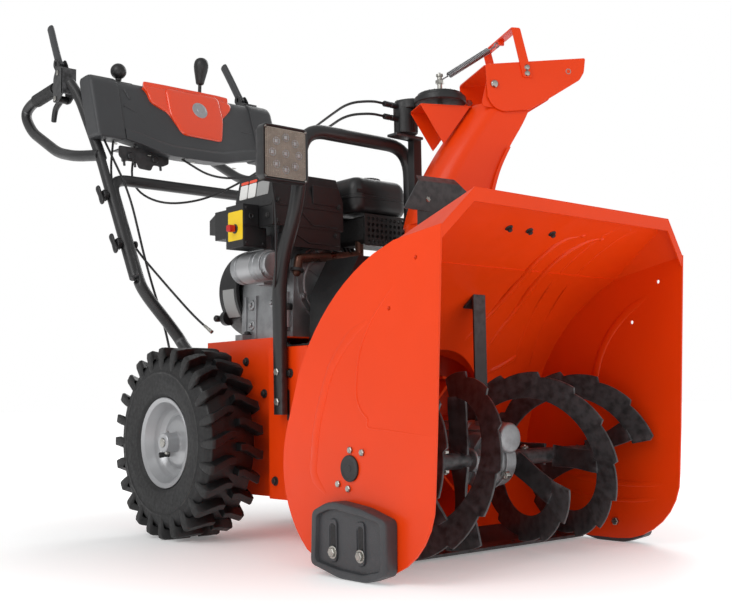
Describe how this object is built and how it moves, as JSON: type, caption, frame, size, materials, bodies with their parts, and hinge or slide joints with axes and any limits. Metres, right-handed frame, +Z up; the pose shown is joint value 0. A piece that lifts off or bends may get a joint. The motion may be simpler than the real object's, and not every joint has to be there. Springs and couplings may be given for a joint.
{
  "type": "two stage snowblower",
  "caption": "Walk-behind snow thrower: intake housing with ribbon augers, impeller, turning chute with deflector, engine on a frame, driven wheels and folding handle with console.",
  "frame": {"origin": "middle of the machine's bounding box at ground level, with the chute at its rest heading and the handle up", "axes": "+Z up, -Y forward (the intake faces -Y), +X towards the operator's left"},
  "size_m": [0.7352, 1.5472, 1.207],
  "materials": {
    "orange_paint": "glossy powder coat",
    "black_paint": "satin powder coat",
    "silver_paint": "satin silver paint",
    "zinc": "bright zinc",
    "steel": "turned steel",
    "casting": "sand cast",
    "gear_bronze": "machined bronze",
    "grey_plastic": "grained dark grey",
    "shoe_plastic": "moulded",
    "black_plastic": "moulded black",
    "cover_plastic": "glossy moulded",
    "red_plastic": "moulded",
    "lens": "clear lens over reflectors",
    "dark_steel": "heat resistant paint",
    "tyre": "moulded tread",
    "rubber": "soft moulded"
  },
  "bodies": {
    "chassis": {"side_plates": "orange_paint", "housing_shell": "orange_paint", "impeller_drum": "orange_paint", "scraper_bar": "black_paint", "hex_bolts": "zinc", "shaft_bearings": "black_plastic", "gearcase_brace": "black_paint", "auger_gearcase": "casting", "rotator_head": "black_plastic", "rotator_bracket": "black_paint", "snow_shield": "black_paint", "light_hoop": "black_paint", "frame_box": "orange_paint", "engine_block": "casting", "engine_shroud": "black_plastic", "recoil_housing": "black_plastic", "fuel_tank": "black_plastic", "muffler": "dark_steel", "starter_motor": "casting", "control_box": "black_plastic", "belts": "rubber", "belt_cover": "black_plastic", "lower_handle": "black_paint", "control_cables": "rubber"},
    "auger_rotor": {"auger_axle": "steel", "right_auger": "black_paint", "left_auger": "black_paint", "shear_bolts": "zinc", "worm_wheel": "gear_bronze"},
    "impeller_rotor": {"impeller": "orange_paint", "impeller_shaft": "steel", "impeller_pulley": "casting"},
    "crank_rotor": {"crankshaft": "steel"},
    "disc_rotor": {"drive_disc": "steel"},
    "axle_rotor": {"wheel_axle": "steel", "wheel_rims": "silver_paint", "tyres": "tyre"},
    "hex_rotor": {"hex_shaft": "steel"},
    "friction_carrier": {"friction_wheel": "rubber"},
    "chute_body": {"chute": "orange_paint", "deflector_spring": "steel"},
    "deflector_body": {"deflector": "orange_paint"},
    "lamp": {"headlight": "black_paint", "headlight_lens": "lens"},
    "handle": {"upper_handle": "black_paint", "console": "grey_plastic", "console_cover": "cover_plastic", "handle_grips": "rubber", "wing_knobs": "black_plastic"},
    "right_clutch": {"right_clutch_lever": "grey_plastic"},
    "left_clutch": {"left_clutch_lever": "grey_plastic"},
    "right_trigger_body": {"right_trigger": "black_plastic"},
    "left_trigger_body": {"left_trigger": "black_plastic"},
    "speed_body": {"speed_lever": "black_plastic"},
    "chute_lever_body": {"chute_lever": "black_plastic"},
    "right_shoe": {"right_skid_shoe": "shoe_plastic"},
    "left_shoe": {"left_skid_shoe": "shoe_plastic"},
    "cap_body": {"fuel_cap": "black_plastic"},
    "key_body": {"ignition_key": "red_plastic"},
    "pull_body": {"recoil_handle": "black_plastic"}
  },
  "joints": [
    {"name": "right_shoe_height", "type": "slide", "parent": "chassis", "child": "right_shoe", "axis": [0, 0, 1], "range_m": [-0.0395, 0.003]},
    {"name": "left_shoe_height", "type": "slide", "parent": "chassis", "child": "left_shoe", "axis": [0, 0, 1], "range_m": [-0.0395, 0.003]},
    {"name": "impeller_spin", "type": "hinge", "parent": "chassis", "child": "impeller_rotor", "pos_m": [-0.03726, -0.34429, 0.202], "axis": [0, 1, 0], "continuous": true},
    {"name": "auger_spin", "type": "hinge", "parent": "chassis", "child": "auger_rotor", "pos_m": [-0.03726, -0.55429, 0.165], "axis": [1, 0, 0], "continuous": true},
    {"name": "crank_spin", "type": "hinge", "parent": "chassis", "child": "crank_rotor", "pos_m": [-0.03726, -0.04429, 0.505], "axis": [0, 1, 0], "continuous": true},
    {"name": "disc_spin", "type": "hinge", "parent": "chassis", "child": "disc_rotor", "pos_m": [-0.03726, -0.14429, 0.255], "axis": [0, 1, 0], "continuous": true},
    {"name": "axle_spin", "type": "hinge", "parent": "chassis", "child": "axle_rotor", "pos_m": [-0.03726, 0.06571, 0.1905], "axis": [1, 0, 0], "continuous": true},
    {"name": "hex_spin", "type": "hinge", "parent": "chassis", "child": "hex_rotor", "pos_m": [-0.03726, 0.01971, 0.255], "axis": [1, 0, 0], "continuous": true},
    {"name": "friction_shift", "type": "slide", "parent": "hex_rotor", "child": "friction_carrier", "axis": [1, 0, 0], "range_m": [-0.055, 0.055]},
    {"name": "chute_turn", "type": "hinge", "parent": "chassis", "child": "chute_body", "pos_m": [0.08074, -0.34329, 0.59], "axis": [0, 0, 1], "range_deg": [-154, 26]},
    {"name": "deflector_tilt", "type": "hinge", "parent": "chute_body", "child": "deflector_body", "pos_m": [0.15804, -0.38099, 0.879], "axis": [0.4384, 0.8988, 0], "range_deg": [0, 38], "deforming": ["deflector_spring"]},
    {"name": "lamp_tilt", "type": "hinge", "parent": "chassis", "child": "lamp", "pos_m": [-0.25126, -0.23429, 0.721], "axis": [1, 0, 0], "range_deg": [-18, 18]},
    {"name": "handle_fold", "type": "hinge", "parent": "chassis", "child": "handle", "pos_m": [-0.03726, 0.28853, 0.618], "axis": [1, 0, 0], "range_deg": [-75, 0], "deforming": ["control_cables"]},
    {"name": "right_clutch_press", "type": "hinge", "parent": "handle", "child": "right_clutch", "pos_m": [-0.29926, 0.54571, 1.058], "axis": [1, 0, 0], "range_deg": [-48, 0], "stiffness_Nm_per_rad": 2, "springref_deg": 17.19},
    {"name": "left_clutch_press", "type": "hinge", "parent": "handle", "child": "left_clutch", "pos_m": [0.22474, 0.54571, 1.058], "axis": [1, 0, 0], "range_deg": [-48, 0], "stiffness_Nm_per_rad": 2, "springref_deg": 17.19},
    {"name": "right_trigger_pull", "type": "hinge", "parent": "handle", "child": "right_trigger_body", "pos_m": [-0.29926, 0.55771, 0.998], "axis": [1, 0, 0], "range_deg": [0, 25], "stiffness_Nm_per_rad": 0.5, "springref_deg": -17.19},
    {"name": "left_trigger_pull", "type": "hinge", "parent": "handle", "child": "left_trigger_body", "pos_m": [0.22474, 0.55771, 0.998], "axis": [1, 0, 0], "range_deg": [0, 25], "stiffness_Nm_per_rad": 0.5, "springref_deg": -17.19},
    {"name": "speed_select", "type": "hinge", "parent": "handle", "child": "speed_body", "pos_m": [0.02274, 0.45871, 0.985], "axis": [1, 0, 0], "range_deg": [-18, 18]},
    {"name": "chute_lever_turn", "type": "hinge", "parent": "handle", "child": "chute_lever_body", "pos_m": [-0.20226, 0.45871, 0.985], "axis": [0, 1, 0], "range_deg": [-21, 4]},
    {"name": "cap_turn", "type": "hinge", "parent": "chassis", "child": "cap_body", "pos_m": [0.11274, -0.08429, 0.74], "axis": [0, 0, 1], "range_deg": [0, 120]},
    {"name": "key_pull", "type": "slide", "parent": "chassis", "child": "key_body", "axis": [-1, 0, 0], "range_m": [0, 0.02]},
    {"name": "starter_pull", "type": "slide", "parent": "chassis", "child": "pull_body", "axis": [0, 1, 0], "range_m": [0, 0.12], "stiffness_N_per_m": 20, "springref_m": -0.05}
  ],
  "couplings": [
    {"joint": "auger_spin", "follows": "impeller_spin", "ratio": 0.1},
    {"joint": "crank_spin", "follows": "impeller_spin", "ratio": 2.6667},
    {"joint": "disc_spin", "follows": "impeller_spin", "ratio": 1.3333},
    {"joint": "hex_spin", "follows": "axle_spin", "ratio": -2.1429},
    {"joint": "friction_shift", "follows": "speed_select", "m_per_rad": 0.16},
    {"joint": "chute_lever_turn", "follows": "chute_turn", "ratio": 0.13}
  ]
}
